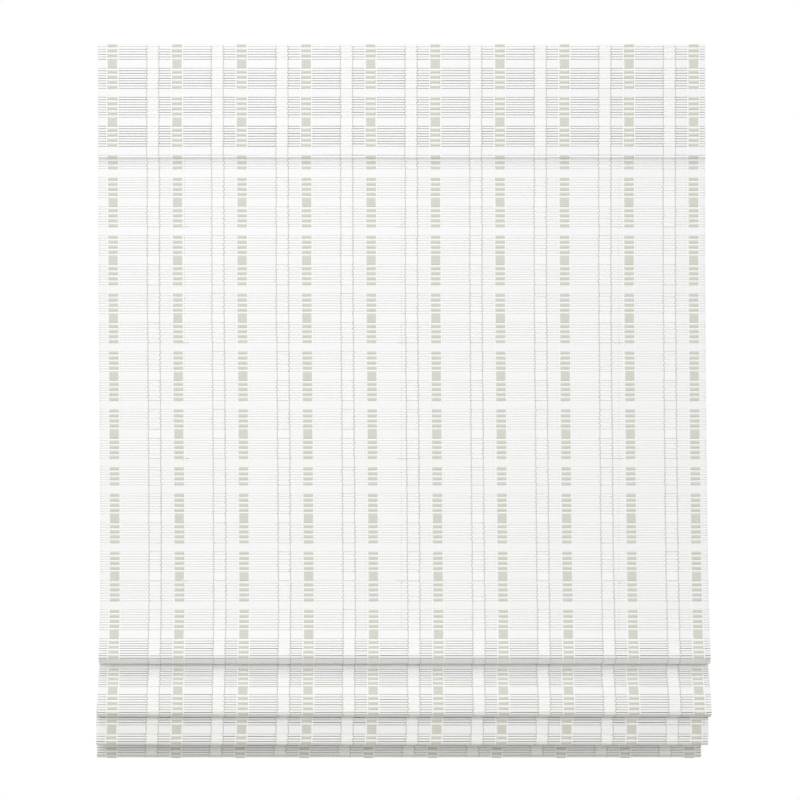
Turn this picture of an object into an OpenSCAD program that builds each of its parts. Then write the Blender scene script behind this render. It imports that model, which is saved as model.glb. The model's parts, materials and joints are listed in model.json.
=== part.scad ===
// Woven roman blind with a spring lift in its headrail, partly raised.
// +Z is up, the front of the blind faces -Y, and z = 0 is the ceiling face of the brackets.

/* [Woven mat] */
// Width of the woven mat
mat_w = 850; // [700:10:1100]
// Distance from one reed to the next
reed_pitch = 3.53; // [3.2:0.01:3.8]
// Distance that one wide slat takes up
slat_pitch = 12.3; // [11:0.1:14]
// Thickness of reeds and slats
mat_t = 2.2; // [1.6:0.1:2.4]
// Thickness left in the grooves between them
groove_t = 0.7; // [0.5:0.1:1.2]
// Width of the slope from a groove to the top of a reed
groove_slope = 0.5; // [0.46:0.02:0.7]
// Reeds between two wide slats
reeds_between = 8; // [7:1:9]
// Reeds above the first wide slat of the shade
lead_reeds = 2; // [1:1:4]
// Gap between the top of the shade and the ceiling
shade_drop = 5.8; // [4:0.1:8]
// Wide slats in the valance
valance_slats = 4; // [3:1:6]
// Reeds above the first wide slat of the valance
valance_lead = 6; // [2:1:8]
// Gap between the top of the valance and the ceiling
valance_drop = 1; // [0:0.5:4]

/* [Folds] */
// Slope of the shade just above each fold's tip
front_slope = [29, 36, 46]; // [20:1:50]
// Slope of the last reeds and the slat above the tips of the two lower folds
lip_slope = [14, 12]; // [0:1:30]
// Slope of the cloth behind each fold's tip
rear_slope = [161, 142, 148]; // [125:1:165]
// Lean of the shade at four heights above the first fold
lean = [1.5, 3, 7, 15]; // [0:0.5:20]

/* [Yarn] */
// Distance between two accent stripes of yarn
stripe_pitch = 90.3; // [75:0.1:110]
// Shift of all stripes to the right of the mat's middle
stripe_shift = 2.1; // [-5:0.1:5]
// Least distance from an accent stripe to the mat's edge
stripe_edge = 5; // [2:1:12]
// Width of an accent stripe
accent_w = 13.4; // [8:0.2:18]
// Width of a white stripe between accents
white_w = 17; // [8:0.5:24]
// Distance from an accent stripe to the white stripe beside it
white_offset = 56.4; // [30:0.1:60]
// Thickness of a yarn stripe
yarn_t = 0.6; // [0.4:0.1:1]
// Depth by which yarn is pressed into the reeds
yarn_bite = 0.15; // [0.1:0.05:0.3]

/* [Headrail] */
// Depth of the headrail from front to back
rail_d = 50; // [46:1:60]
// Height of the headrail
rail_h = 35.4; // [34:0.2:42]
// Wall of the headrail
rail_wall = 1.2; // [1:0.1:1.6]
// Width of each lip along the open top
rail_lip = 8; // [7:0.5:9]
// Thickness of an end cap's face
cap_t = 3; // [2:0.5:4]
// Thickness of one half of a hook and loop tape
tape_t = 1.2; // [0.8:0.1:1.6]
// Height of the hook and loop tapes
tape_h = 20; // [16:1:24]

/* [Brackets] */
// Distance from the mat's edge to the middle of a bracket
bracket_inset = 95; // [75:5:120]
// Distance between the two screws of a bracket
screw_span = 26; // [24:1:28]
// Diameter of a screw hole
screw_hole_d = 4.6; // [4:0.1:5]
// Thickness of the bracket's steel
bracket_t = 1.6; // [1.4:0.1:2]
// Width of a bracket
bracket_w = 40; // [36:1:50]
// Gap between the bracket plate and the headrail
bracket_gap = 3; // [3:0.1:4]
// Diameter of the rivet that the cam lever turns on
rivet_d = 4; // [3:0.5:5]

/* [Lift] */
// Distance from the mat's edge to the first lift cord
cord_inset = 120; // [110:5:140]
// Diameter of a lift cord
cord_d = 1.4; // [1.2:0.1:1.6]
// Gap between a spool's flange and the headrail
spool_air = 0.55; // [0.4:0.05:1]
// Height of a spool's flanges above its hanging cord
flange_depth = 3; // [2.5:0.1:4]
// Length of a spool between its flanges
spool_l = 24; // [20:1:30]
// Turns of cord on a spool as the blind is shown
wound_turns = 5; // [3:1:8]
// Side of the square lift shaft
shaft_w = 5; // [4:0.5:5]
// Radius of a spool's bearing journal
journal_r = 4; // [4:0.1:4.6]
// Distance that the shaft runs past each outer spool's middle
shaft_over = 30; // [25:1:50]
// Radial clearance of a journal in its bearing
running_gap = 0.08; // [0.05:0.01:0.1]

/* [Spring motor] */
// Distance from the middle of the blind to the motor
motor_x = 150; // [110:5:190]
// Length of the motor housing
motor_l = 44; // [40:1:60]
// Wall of the motor housing
motor_wall = 2; // [1.6:0.2:2.4]
// Gap between the motor housing and the headrail's sides
motor_air = 1; // [0.6:0.1:2]
// Gap between a drum's flange and the housing, and between the two flanges
drum_air = 0.9; // [0.6:0.1:1.2]
// Thickness of the spring band between the drums
spring_t = 0.4; // [0.3:0.1:0.5]

/* [Rings and cords] */
// Distance along the shade between two rows of rings
ring_pitch = 163; // [160:0.5:166]
// Radius of a ring's middle line
ring_r = 5.8; // [5.4:0.1:6.4]
// Diameter of a ring's wire
ring_wire = 2.4; // [2:0.1:2.6]
// Diameter of the stop under the lowest ring
stop_d = 11; // [10.5:0.1:12]
// Height of the stop
stop_h = 8; // [6:0.5:9]

/* [Bottom bar] */
// Height of the bottom bar
bar_h = 21; // [16:1:22]
// Thickness of the bottom bar
bar_t = 5; // [4:0.1:5.4]
// Distance from the mat's edge to the bar's cap
bar_inset = 6; // [2:1:20]

/* [Hidden] */

$fn = 48;
white_paint = [0.95, 0.95, 0.94];
accent_yarn = [0.85, 0.84, 0.78];
pale_yarn = [0.93, 0.93, 0.92];
steel = [0.78, 0.79, 0.8];
nylon = [0.92, 0.92, 0.9];

// Headrail levels, from the ceiling down
rail_top = -bracket_t - bracket_gap;
rail_bottom = rail_top - rail_h;
rail_floor = rail_bottom + rail_wall;
rail_l = mat_w - 10;
rail_front = -rail_d / 2;
slip = 0.3;
lip_under = rail_top - rail_wall - slip;

// Lift shaft and stations: the motor's two drums fill the headrail's depth, and the shaft runs
// through the front one
shaft_z = rail_top - 17.4;
drum_flange_r = min((rail_d / 2 - rail_wall - motor_air - motor_wall - 1.5 * drum_air) / 2, rail_h / 2 - 7.9);
shaft_y = drum_flange_r + drum_air / 2;
flange_r = min(rail_d / 2 - rail_wall - shaft_y - spool_air, rail_h / 2 - 4.7);
winding_r = flange_r - flange_depth;
cord_y = -shaft_y - winding_r;
cord_span = mat_w / 2 - cord_inset;
stations = [-cord_span, 0, cord_span];
bracket_span = mat_w - 2 * bracket_inset;
ring_rows = 7;

// The shade's row of reeds and slats, as pitches from top to bottom.
// A few groups between slats have another count: one in the flat part, two in the hidden rears of
// the folds, and the last one, which ends the hem.
odd_groups = [[14, reeds_between - 1], [22, reeds_between + 2], [30, reeds_between + 6],
    [32, reeds_between - 3]];
last_slat = 32;
function group_reeds(k) =
    let (odd = [for (g = odd_groups) if (g[0] == k) g[1]]) len(odd) > 0 ? odd[0] : reeds_between;
function repeated(value, count) = [for (i = [1:count]) value];
shade_row = concat(repeated(reed_pitch, lead_reeds),
    [for (k = [0:last_slat]) each concat([slat_pitch], repeated(reed_pitch, group_reeds(k)))]);
function sum_to(row, n) = [for (i = 0, s = 0; i <= n; s = s + (i < n ? row[i] : 0), i = i + 1) s];
shade_s = sum_to(shade_row, len(shade_row));
slat_starts = [for (i = [0:len(shade_row) - 1]) if (shade_row[i] == slat_pitch) shade_s[i]];
function slat_s(k) = slat_starts[k];
function slat_mid(k) = slat_starts[k] + slat_pitch / 2;
function after_slat(k) = slat_starts[k] + slat_pitch;

// Slope of the shade along its length, from straight down, with + towards the front.
// Each bend is a list of slopes, one for each reed that it takes.
function bend(start, slopes) =
    [for (i = [0:len(slopes) - 1]) [start + (i + 0.5) * reed_pitch, slopes[i]]];
slope_table = concat(
    [[0, 0], [slat_s(11), 0], [slat_s(15), lean[0]], [slat_s(17), lean[1]], [slat_s(19), lean[2]],
        [slat_mid(20), lean[3]], [slat_s(21) - 1.5 * reed_pitch, front_slope[0]],
        [slat_s(21) - 0.5 * reed_pitch, -11], [slat_mid(21), -52]],
    bend(after_slat(21), [-92, -128, -rear_slope[0]]),
    [[slat_s(22) - 0.5 * reed_pitch, -rear_slope[0]], [slat_mid(22), -116]],
    bend(after_slat(22), [-75, -35, 3, front_slope[1]]),
    [[slat_mid(24), front_slope[1]]],
    bend(after_slat(24), [lip_slope[0] + 6, lip_slope[0]]),
    [[slat_s(25) - 1.5 * reed_pitch, lip_slope[0]], [slat_s(25) - 0.5 * reed_pitch, -31],
        [slat_mid(25), -72]],
    bend(after_slat(25), [-112, -rear_slope[1]]),
    bend(after_slat(26), [-rear_slope[1], -102, -62, -22, 16, front_slope[2]]),
    bend(after_slat(27) + 4 * reed_pitch, [front_slope[2], lip_slope[1] + 8, lip_slope[1]]),
    [[slat_mid(28), lip_slope[1]]],
    bend(after_slat(28), [lip_slope[1], lip_slope[1], lip_slope[1] - 5, -28, -66, -104, -rear_slope[2]]),
    [[slat_mid(30), -rear_slope[2]]],
    bend(after_slat(30), [-104, -68, -32, 0]),
    [[after_slat(31) + 4.5 * reed_pitch, 0]],
    bend(after_slat(31) + 5 * reed_pitch, [-45, -90, -135]),
    [[slat_mid(32), -180], [shade_s[len(shade_row)], -180]]);
shade_slope = [for (i = [0:len(shade_row) - 1])
    lookup(shade_s[i] + shade_row[i] / 2, slope_table)];

// Where the shade hangs: its back lies on the loop tape, in front of the headrail
shade_back = rail_front - 2 * tape_t;
shade_y = shade_back - mat_t / 2;
shade_points = path_points(shade_row, shade_slope, [shade_y, -shade_drop]);
valance_y = shade_back - mat_t - 2 * tape_t - mat_t / 2;
valance_row = concat(repeated(reed_pitch, valance_lead),
    [for (k = [1:valance_slats]) each concat([slat_pitch],
        repeated(reed_pitch, k == valance_slats ? 1 : reeds_between))]);
valance_slope = repeated(0, len(valance_row));
valance_points = path_points(valance_row, valance_slope, [valance_y, -valance_drop]);

// Points [y, z] at the joints of a row whose elements have the given slopes
function path_points(row, slope, start) =
    [for (i = 0, p = start; i <= len(row);
        p = i < len(row) ? p - row[i] * [sin(slope[i]), cos(slope[i])] : p, i = i + 1) p];
function way(a) = [-sin(a), -cos(a)];
function front(a) = [-cos(a), sin(a)];

// Section of a woven mat: a groove between each two elements in front, flats behind
function mat_face(row, slope, points) =
    [for (i = [0:len(row) - 1]) let (w = way(slope[i]), f = front(slope[i]) * mat_t / 2) each [
        points[i] + front(slope[i]) * groove_t / 2,
        points[i] + w * groove_slope + f,
        points[i + 1] - w * groove_slope + f]];
function mat_back(row, slope, points) =
    [for (i = [len(row) - 1:-1:0]) let (w = way(slope[i]), f = front(slope[i]) * mat_t / 2) each [
        points[i + 1] - w * groove_slope - f,
        points[i] + w * groove_slope - f]];

// Joints that a yarn stripe bends at: the sharp ones, and one for each few degrees of a soft curve
soft_step = 4;
function yarn_joints(slope) = [for (i = [1:len(slope) - 1])
    if (abs(slope[i] - slope[i - 1]) > soft_step
        || floor(slope[i] / soft_step) != floor(slope[i - 1] / soft_step)) i];
function joint_front(points, slope, i, off) =
    let (a = slope[max(i - 1, 0)], b = slope[min(i, len(slope) - 1)])
    points[i] + front((a + b) / 2) * off / cos((a - b) / 2);
function yarn_section(points, slope) = let (
    joints = concat([0], yarn_joints(slope), [len(slope)]),
    low = mat_t / 2 - yarn_bite,
    high = low + yarn_t)
    concat([for (i = joints) joint_front(points, slope, i, high)],
        [for (k = [len(joints) - 1:-1:0]) joint_front(points, slope, joints[k], low)]);

// A section in [y, z] drawn out along X, centred on x
module along_x(x, length) {
    translate([x - length / 2, 0, 0]) rotate([90, 0, 90]) linear_extrude(length) children();
}

// A round bar along X between two places
module rod(x0, x1, y, z, r) {
    translate([x0, y, z]) rotate([0, 90, 0]) cylinder(h = x1 - x0, r = r);
}

module block(low, high) {
    translate(low) cube(high - low);
}

module woven_mat(row, slope, points) {
    color(white_paint) along_x(0, mat_w)
        polygon(concat(mat_face(row, slope, points), mat_back(row, slope, points)));
}

stripes = floor((mat_w - accent_w - 2 * stripe_edge) / stripe_pitch) + 1;
function accent_x(i) = (i - (stripes - 1) / 2) * stripe_pitch + stripe_shift;

module accent_stripes(points, slope) {
    color(accent_yarn) for (i = [0:stripes - 1])
        along_x(accent_x(i), accent_w) polygon(yarn_section(points, slope));
}

module white_stripes(points, slope) {
    color(pale_yarn) for (i = [0:stripes - 2])
        along_x(accent_x(i) + white_offset, white_w) polygon(yarn_section(points, slope));
}

module shade_mat() { woven_mat(shade_row, shade_slope, shade_points); }
module shade_accent_yarn() { accent_stripes(shade_points, shade_slope); }
module shade_white_yarn() { white_stripes(shade_points, shade_slope); }
module valance_mat() { woven_mat(valance_row, valance_slope, valance_points); }
module valance_accent_yarn() { accent_stripes(valance_points, valance_slope); }
module valance_white_yarn() { white_stripes(valance_points, valance_slope); }

// Hook and loop tapes: two on the headrail's face, two between the shade and the valance
tape_top = rail_top - 4;
tape_l = rail_l - 20;
module tape(back) {
    color("white") block([-tape_l / 2, back - tape_t, tape_top - tape_h], [tape_l / 2, back, tape_top]);
}
module rail_hook_tape() { tape(rail_front); }
module shade_loop_tape() { tape(rail_front - tape_t); }
module valance_loop_tape() { tape(shade_back - mat_t); }
module valance_hook_tape() { tape(shade_back - mat_t - tape_t); }

// Steel channel, open at the top, with a lip along each side and three cord holes in its floor
grommet_neck_r = 2.6;
module headrail() {
    inner = rail_d - 2 * rail_wall;
    color(white_paint) difference() {
        block([-rail_l / 2, -rail_d / 2, rail_bottom], [rail_l / 2, rail_d / 2, rail_top]);
        block([-rail_l / 2 - 1, -inner / 2, rail_floor], [rail_l / 2 + 1, inner / 2, rail_top - rail_wall]);
        block([-rail_l / 2 - 1, rail_lip - rail_d / 2, rail_floor],
            [rail_l / 2 + 1, rail_d / 2 - rail_lip, rail_top + 1]);
        for (x = stations) translate([x, cord_y, rail_bottom - 1])
            cylinder(h = rail_wall + 2, r = grommet_neck_r + slip / 2);
    }
}

// End cap: a face with rounded corners and a hollow plug that fits inside the channel
plug_l = 14;
module end_cap(side) {
    face_x = side * (rail_l + cap_t) / 2;
    color(nylon) {
        translate([face_x, 0, (rail_top + rail_bottom) / 2]) rotate([0, 90, 0]) difference() {
            cube([rail_h, rail_d, cap_t], center = true);
            for (sz = [-1, 1], sy = [-1, 1]) translate([sz * rail_h / 2, sy * rail_d / 2, 0])
                cube([4, 4, cap_t + 1], center = true);
        }
        translate([side * (rail_l - plug_l) / 2, 0, (rail_floor + rail_top - rail_wall) / 2]) difference() {
            cube([plug_l, rail_d - 2 * rail_wall - slip, rail_h - 2 * rail_wall - slip], center = true);
            cube([plug_l + 1, rail_d - 2 * rail_wall - 5, rail_h - 2 * rail_wall - 5], center = true);
        }
    }
}
module end_cap_left() { end_cap(-1); }
module end_cap_right() { end_cap(1); }

// Ceiling bracket: a plate, and a claw at the front that goes under the channel's lip
claw_in = rail_d / 2 - rail_lip;
pivot_y = claw_in - 8;
module bracket(x) {
    front_leg = -claw_in + slip;
    color(steel) difference() {
        translate([x, 0, 0]) {
            block([-bracket_w / 2, front_leg, -bracket_t], [bracket_w / 2, claw_in + 4, 0]);
            block([-bracket_w / 2, front_leg, lip_under - bracket_t],
                [bracket_w / 2, front_leg + bracket_t, 0]);
            block([-bracket_w / 2, 2.5 - rail_d / 2, lip_under - bracket_t],
                [bracket_w / 2, front_leg + bracket_t, lip_under]);
        }
        for (s = [-1, 1]) translate([x, s * screw_span / 2, -bracket_t - 1])
            cylinder(h = bracket_t + 2, d = screw_hole_d);
        translate([x - bracket_w / 3, pivot_y, -bracket_t - 1]) cylinder(h = bracket_t + 2, d = rivet_d);
    }
}
module bracket_left() { bracket(-bracket_span / 2); }
module bracket_right() { bracket(bracket_span / 2); }

// Cam lever under each bracket: its nose holds the rear lip, its handle lies along the rail
cam_bottom = lip_under - bracket_t;
hub_r = 7;
cam_x = [-bracket_span / 2 - bracket_w / 3, bracket_span / 2 - bracket_w / 3];
module cam_rivets() {
    color(steel) for (x = cam_x) translate([x, pivot_y, 0]) {
        translate([0, 0, cam_bottom - 0.4]) cylinder(h = -cam_bottom + 0.4, d = rivet_d);
        translate([0, 0, cam_bottom - 1.4]) cylinder(h = 1, d = rivet_d + 3);
    }
}
module cam(x) {
    handle_z = rail_top + 0.4;
    handle_t = bracket_gap - 0.8;
    color(nylon) translate([x, pivot_y, 0]) difference() {
        union() {
            translate([0, 0, cam_bottom]) cylinder(h = -bracket_t - slip - cam_bottom, r = hub_r);
            block([-4, 0, cam_bottom], [4, 13.2, lip_under]);
            block([0, -4, handle_z], [26, 4, handle_z + handle_t]);
            translate([26, 0, handle_z]) cylinder(h = handle_t, r = 4);
        }
        translate([0, 0, cam_bottom - 1]) cylinder(h = -cam_bottom + 1, r = rivet_d / 2 + running_gap);
    }
}
module cam_left() { cam(cam_x[0]); }
module cam_right() { cam(cam_x[1]); }

// Square shaft along the headrail, turned by the spring motor and carrying the spools
shaft_l = 2 * (cord_span + shaft_over);
module lift_shaft() {
    color(steel) translate([0, -shaft_y, shaft_z]) cube([shaft_l, shaft_w, shaft_w], center = true);
}
module shaft_bore() {
    translate([0, -shaft_y, shaft_z]) cube([rail_l, shaft_w + 0.1, shaft_w + 0.1], center = true);
}

// Cord spool: two flanges on a core, with a journal at each end for its cradle
core_r = winding_r - cord_d / 2 - slip;
flange_t = 1.5;
journal_l = 5;
module spool(x) {
    half = spool_l / 2;
    color(nylon) difference() {
        union() {
            rod(x - half, x + half, -shaft_y, shaft_z, core_r);
            rod(x - half - flange_t, x - half, -shaft_y, shaft_z, flange_r);
            rod(x + half, x + half + flange_t, -shaft_y, shaft_z, flange_r);
            rod(x - half - flange_t - journal_l, x + half + flange_t + journal_l, -shaft_y, shaft_z,
                journal_r);
        }
        shaft_bore();
    }
}
module spool_1() { spool(stations[0]); }
module spool_2() { spool(stations[1]); }
module spool_3() { spool(stations[2]); }

// Cradle: a base on the headrail's floor with two clips that the spool's journals snap into
clip_t = 3;
clip_r = 7;
cradle_back = rail_d / 2 - rail_wall - 3.8;
module cradle(x) {
    inner = spool_l / 2 + flange_t + 1;
    color(nylon) difference() {
        union() {
            for (s = [-1, 1]) translate([x + s * (inner + clip_t / 2), 0, 0]) {
                block([-clip_t / 2, -shaft_y - clip_r, rail_floor], [clip_t / 2, -shaft_y + clip_r, shaft_z]);
                rod(-clip_t / 2, clip_t / 2, -shaft_y, shaft_z, clip_r);
            }
            block([x - inner - clip_t, -shaft_y - 4, rail_floor],
                [x + inner + clip_t, cradle_back, rail_floor + 2]);
        }
        rod(x - inner - clip_t - 1, x + inner + clip_t + 1, -shaft_y, shaft_z, journal_r + running_gap);
        block([x - inner - clip_t - 1, -shaft_y - 3.4, shaft_z],
            [x + inner + clip_t + 1, -shaft_y + 3.4, shaft_z + 9]);
    }
}
module cradle_1() { cradle(stations[0]); }
module cradle_2() { cradle(stations[1]); }
module cradle_3() { cradle(stations[2]); }

// Spring motor: housing, cover, two drums and the band wound between them
motor_top = rail_top - 5.2;
motor_front = -rail_d / 2 + rail_wall + motor_air;
motor_back = rail_d / 2 - rail_wall - motor_air;
storage_y = shaft_y;
drum_span = 2 * shaft_y;
drum_l = motor_l - 2 * motor_wall - 3;
cover_t = 2;
module bearing_tower(r_extra) {
    for (y = [-shaft_y, storage_y])
        rod(motor_x - motor_l, motor_x + motor_l, y, shaft_z, journal_r + r_extra);
}
module bearing_slots(gap, top) {
    for (y = [-shaft_y, storage_y]) block([motor_x - motor_l, y - journal_r - gap, shaft_z],
        [motor_x + motor_l, y + journal_r + gap, top]);
}
module motor_shell() {
    difference() {
        block([motor_x - motor_l / 2, motor_front, rail_floor],
            [motor_x + motor_l / 2, motor_back, motor_top - cover_t]);
        block([motor_x - motor_l / 2 + motor_wall, motor_front + motor_wall, rail_floor + motor_wall],
            [motor_x + motor_l / 2 - motor_wall, motor_back - motor_wall, motor_top]);
    }
}
module motor_base() {
    color("gainsboro") difference() {
        motor_shell();
        bearing_tower(running_gap);
        bearing_slots(running_gap, motor_top);
    }
}
module motor_cover() {
    color("whitesmoke") union() {
        block([motor_x - motor_l / 2, motor_front, motor_top - cover_t],
            [motor_x + motor_l / 2, motor_back, motor_top]);
        difference() {
            intersection() {
                motor_shell();
                bearing_slots(running_gap - 0.1, motor_top);
            }
            bearing_tower(running_gap);
            block([motor_x - motor_l, motor_front, rail_floor],
                [motor_x + motor_l, motor_back, shaft_z + journal_r - 1]);
        }
    }
}
output_core_r = drum_flange_r - 2.7;
storage_core_r = drum_flange_r - 4.7;
module drum(y, drum_core_r) {
    half = drum_l / 2;
    rod(motor_x - half, motor_x + half, y, shaft_z, drum_core_r);
    for (s = [-1, 1]) let (x = motor_x + s * (half - 0.75))
        rod(x - 0.75, x + 0.75, y, shaft_z, drum_flange_r);
    rod(motor_x - motor_l / 2 - 1, motor_x + motor_l / 2 + 1, y, shaft_z, journal_r);
}
module output_drum() {
    color(nylon) difference() {
        drum(-shaft_y, output_core_r);
        shaft_bore();
    }
}
module storage_drum() { color(nylon) drum(storage_y, storage_core_r); }

// The band: wound on the storage drum, with its first turns on the output drum
band_w = drum_l - 5;
storage_wound_r = drum_flange_r - 0.8;
output_wound_r = drum_flange_r - 1.4;
module band_ring(y, inner_r, outer_r) {
    difference() {
        rod(motor_x - band_w / 2, motor_x + band_w / 2, y, shaft_z, outer_r);
        rod(motor_x - band_w, motor_x + band_w, y, shaft_z, inner_r);
    }
}
module motor_spring() {
    drop = asin((storage_wound_r - output_wound_r) / drum_span);
    color("silver") union() {
        band_ring(-shaft_y, output_core_r + slip, output_wound_r);
        band_ring(storage_y, storage_core_r + slip, storage_wound_r);
        translate([motor_x, -shaft_y, shaft_z]) rotate([drop, 0, 0])
            block([-band_w / 2, 0, output_wound_r - spring_t],
                [band_w / 2, drum_span * cos(drop), output_wound_r]);
    }
}

// Grommet in each cord hole
module grommet(x) {
    color(nylon) translate([x, cord_y, rail_bottom]) difference() {
        union() {
            translate([0, 0, -1]) cylinder(h = 1, r = 4.4);
            cylinder(h = rail_wall, r = grommet_neck_r);
            translate([0, 0, rail_wall]) cylinder(h = 0.8, r = 3.4);
        }
        translate([0, 0, -2]) cylinder(h = 5, r = cord_d / 2 + 0.6);
    }
}
module grommet_1() { grommet(stations[0]); }
module grommet_2() { grommet(stations[1]); }
module grommet_3() { grommet(stations[2]); }

// Ring rows: each ring is sewn to the back of the shade, with its hole along the cord
first_row_s = 1.6 * ring_pitch;
function row_s(n) = first_row_s + (n - 1) * ring_pitch;
function element_at(s) = max([for (i = [0:len(shade_row) - 1]) if (shade_s[i] <= s) i]);
ring_reach = slip + ring_r + ring_wire / 2;
// The ring's middle [y, z], behind the rearmost joint of the shade near its row. Where the shade is
// folded, that is the back of the fold, which can be a few reeds away.
function ring_middle(n) = let (
    search = (n < 5 ? 3 : 5) * reed_pitch,
    near = [for (i = [0:len(shade_row)]) if (abs(shade_s[i] - row_s(n)) < search) shade_points[i]],
    rear = max([for (p = near) p[0]]),
    height = [for (p = near) if (p[0] > rear - 0.001) p[1]])
    [rear + mat_t / 2 + ring_reach, n < 4 ? shade_points[element_at(row_s(n))][1] : height[0]];
module ring_row(n) {
    middle = ring_middle(n);
    color(nylon) for (x = stations) translate([x, middle[0], middle[1]])
        rotate_extrude($fn = 32) translate([ring_r, 0]) circle(d = ring_wire, $fn = 16);
}
module ring_row_1() { ring_row(1); }
module ring_row_2() { ring_row(2); }
module ring_row_3() { ring_row(3); }
module ring_row_4() { ring_row(4); }
module ring_row_5() { ring_row(5); }
module ring_row_6() { ring_row(6); }
module ring_row_7() { ring_row(7); }

// Stop under the lowest ring, which the cord ends in
stop_bore_l = 6;
module cord_stop(x) {
    middle = ring_middle(ring_rows);
    color(nylon) translate([x, middle[0], middle[1] - ring_wire / 2 - slip]) mirror([0, 0, 1]) difference() {
        cylinder(h = stop_h, d = stop_d);
        translate([0, 0, -1]) cylinder(h = stop_bore_l + 1, r = cord_d / 2 + slip);
    }
}
module cord_stop_1() { cord_stop(stations[0]); }
module cord_stop_2() { cord_stop(stations[1]); }
module cord_stop_3() { cord_stop(stations[2]); }

// Lift cord: turns on the spool, then down through the rings into its stop.
// Its distance behind each ring's middle is a share of the ring's radius.
cord_share = [0, 0, 0.19, 0.6, -0.53, 0.41];
cord_route = concat([[cord_y, rail_bottom - 20]],
    [for (n = [1:ring_rows - 1]) ring_middle(n) + [cord_share[n - 1] * ring_r, 0]],
    [ring_middle(ring_rows) + [-0.5 * ring_r, 1.2 * ring_r]]);
cord_sides = 8;
module cord_tube(x, route) {
    last = len(route) - 1;
    rings = [for (p = route, k = [0:cord_sides - 1]) let (a = 360 * (k + 0.5) / cord_sides)
        [x + cord_d / 2 * cos(a), p[0] + cord_d / 2 * sin(a), p[1]]];
    sides = [for (i = [0:last - 1], k = [0:cord_sides - 1]) let (n = (k + 1) % cord_sides)
        [i * cord_sides + k, i * cord_sides + n, (i + 1) * cord_sides + n, (i + 1) * cord_sides + k]];
    top = [[for (k = [cord_sides - 1:-1:0]) k]];
    bottom = [[for (k = [0:cord_sides - 1]) last * cord_sides + k]];
    polyhedron(points = rings, faces = concat(sides, top, bottom));
}
module lift_cord(x) {
    middle = ring_middle(ring_rows);
    stop_top = middle[1] - ring_wire / 2 - slip;
    route = concat([[cord_y, shaft_z]], cord_route,
        [[middle[0], stop_top], [middle[0], stop_top - stop_bore_l + slip]]);
    color(white_paint) union() {
        cord_tube(x, route);
        difference() {
            rod(x - (wound_turns - 0.5) * cord_d, x + cord_d / 2, -shaft_y, shaft_z,
                winding_r + cord_d / 2);
            rod(x - wound_turns * cord_d, x + cord_d, -shaft_y, shaft_z, winding_r - cord_d / 2);
        }
    }
}
module lift_cord_1() { lift_cord(stations[0]); }
module lift_cord_2() { lift_cord(stations[1]); }
module lift_cord_3() { lift_cord(stations[2]); }

// Bottom bar in the hem's pocket, with a cap on each end
pocket_front = shade_points[element_at(after_slat(31) + 2 * reed_pitch)][0];
pocket_back = shade_points[element_at(slat_mid(32))][0];
pocket_floor = min([for (p = shade_points) p[1]]) + mat_t / 2;
bar_y = (pocket_front + pocket_back) / 2;
bar_bottom = pocket_floor + slip;
bar_chamfer = 1.5;
bar_l = mat_w - 2 * bar_inset - 2 * cap_t;
module bar_section() {
    translate([bar_y, bar_bottom + bar_h / 2]) difference() {
        square([bar_t, bar_h], center = true);
        for (sy = [-1, 1], sz = [-1, 1]) translate([sy * bar_t / 2, sz * bar_h / 2])
            rotate(45) square(bar_chamfer * sqrt(2), center = true);
    }
}
module bottom_bar() { color(steel) along_x(0, bar_l) bar_section(); }
module bar_cap(side) { color(nylon) along_x(side * (bar_l + cap_t) / 2, cap_t) bar_section(); }
module bar_cap_left() { bar_cap(-1); }
module bar_cap_right() { bar_cap(1); }

headrail();
end_cap_left();
end_cap_right();
bracket_left();
bracket_right();
cam_rivets();
cam_left();
cam_right();
rail_hook_tape();
shade_loop_tape();
valance_loop_tape();
valance_hook_tape();
valance_mat();
valance_accent_yarn();
valance_white_yarn();
shade_mat();
shade_accent_yarn();
shade_white_yarn();
lift_shaft();
spool_1();
spool_2();
spool_3();
cradle_1();
cradle_2();
cradle_3();
motor_base();
motor_cover();
output_drum();
storage_drum();
motor_spring();
grommet_1();
grommet_2();
grommet_3();
lift_cord_1();
lift_cord_2();
lift_cord_3();
ring_row_1();
ring_row_2();
ring_row_3();
ring_row_4();
ring_row_5();
ring_row_6();
ring_row_7();
bottom_bar();
bar_cap_left();
bar_cap_right();
cord_stop_1();
cord_stop_2();
cord_stop_3();
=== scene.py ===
import json
import math

import bpy
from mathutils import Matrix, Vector


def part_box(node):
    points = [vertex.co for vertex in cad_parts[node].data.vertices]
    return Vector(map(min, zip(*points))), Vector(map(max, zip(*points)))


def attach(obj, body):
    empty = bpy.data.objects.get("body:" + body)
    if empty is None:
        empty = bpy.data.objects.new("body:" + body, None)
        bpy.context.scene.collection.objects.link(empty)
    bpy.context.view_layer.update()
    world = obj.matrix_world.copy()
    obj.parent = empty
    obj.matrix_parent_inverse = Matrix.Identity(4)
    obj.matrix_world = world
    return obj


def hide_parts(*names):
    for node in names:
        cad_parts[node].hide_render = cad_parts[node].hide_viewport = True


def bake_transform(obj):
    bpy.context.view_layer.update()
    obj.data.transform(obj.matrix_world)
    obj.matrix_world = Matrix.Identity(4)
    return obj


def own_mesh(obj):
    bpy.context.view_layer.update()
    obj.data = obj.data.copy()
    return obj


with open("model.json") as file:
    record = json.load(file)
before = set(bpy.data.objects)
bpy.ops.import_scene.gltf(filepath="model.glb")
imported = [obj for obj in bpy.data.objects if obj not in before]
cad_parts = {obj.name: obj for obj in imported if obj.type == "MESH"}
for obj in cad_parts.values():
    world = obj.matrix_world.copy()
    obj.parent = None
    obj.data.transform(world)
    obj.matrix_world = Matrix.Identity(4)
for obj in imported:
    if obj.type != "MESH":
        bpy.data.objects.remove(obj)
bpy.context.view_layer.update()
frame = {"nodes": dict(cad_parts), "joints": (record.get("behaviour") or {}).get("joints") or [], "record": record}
nodes = frame["nodes"]
mm = 0.001
print("frame loaded")


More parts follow.
